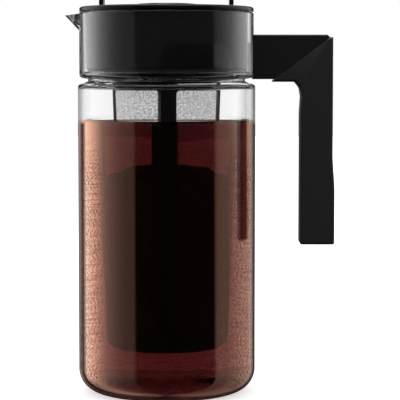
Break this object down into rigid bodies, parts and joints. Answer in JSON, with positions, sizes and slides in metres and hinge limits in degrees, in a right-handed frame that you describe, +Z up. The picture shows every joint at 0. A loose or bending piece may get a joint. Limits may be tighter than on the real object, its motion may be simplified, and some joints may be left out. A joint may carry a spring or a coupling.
{
  "type": "cold brew coffee maker",
  "caption": "Clear one-quart pitcher with a side handle and V spout, closed by a black twist lid with a carrying loop that holds a long mesh coffee infuser.",
  "frame": {"origin": "centre of the standing ring, in the plane the pitcher stands on", "axes": "+Z up along the pitcher's axis, +X towards the handle, -X towards the spout, -Y is the side in the picture"},
  "size_m": [0.1468, 0.097, 0.2342],
  "materials": {
    "clear_copolyester": "clear polished",
    "black_gloss": "high gloss moulded",
    "black_satin": "satin moulded",
    "black_grip": "soft matt overmould",
    "gasket": "silicone",
    "nylon_mesh": "fine woven mesh"
  },
  "bodies": {
    "pitcher": {"pitcher_body": "clear_copolyester", "handle_core": "black_satin", "handle_grip": "black_grip"},
    "seal": {"lid_seal": "gasket"},
    "lid": {"lid_body": "black_gloss", "lid_cap": "black_gloss", "lid_loop": "black_satin"},
    "infuser": {"infuser_collar": "black_satin", "infuser_frame": "black_satin", "infuser_mesh": "nylon_mesh", "infuser_base": "black_satin"}
  },
  "joints": [
    {"name": "lid_lift", "type": "slide", "parent": "pitcher", "child": "seal", "axis": [0, 0, 1], "range_m": [0, 0.2]},
    {"name": "lid_turn", "type": "hinge", "parent": "seal", "child": "lid", "pos_m": [0, 0, 0.19], "axis": [0, 0, 1], "range_deg": [-90, 0]},
    {"name": "infuser_turn", "type": "hinge", "parent": "lid", "child": "infuser", "pos_m": [0, 0, 0.17], "axis": [0, 0, 1], "range_deg": [0, 90]}
  ]
}
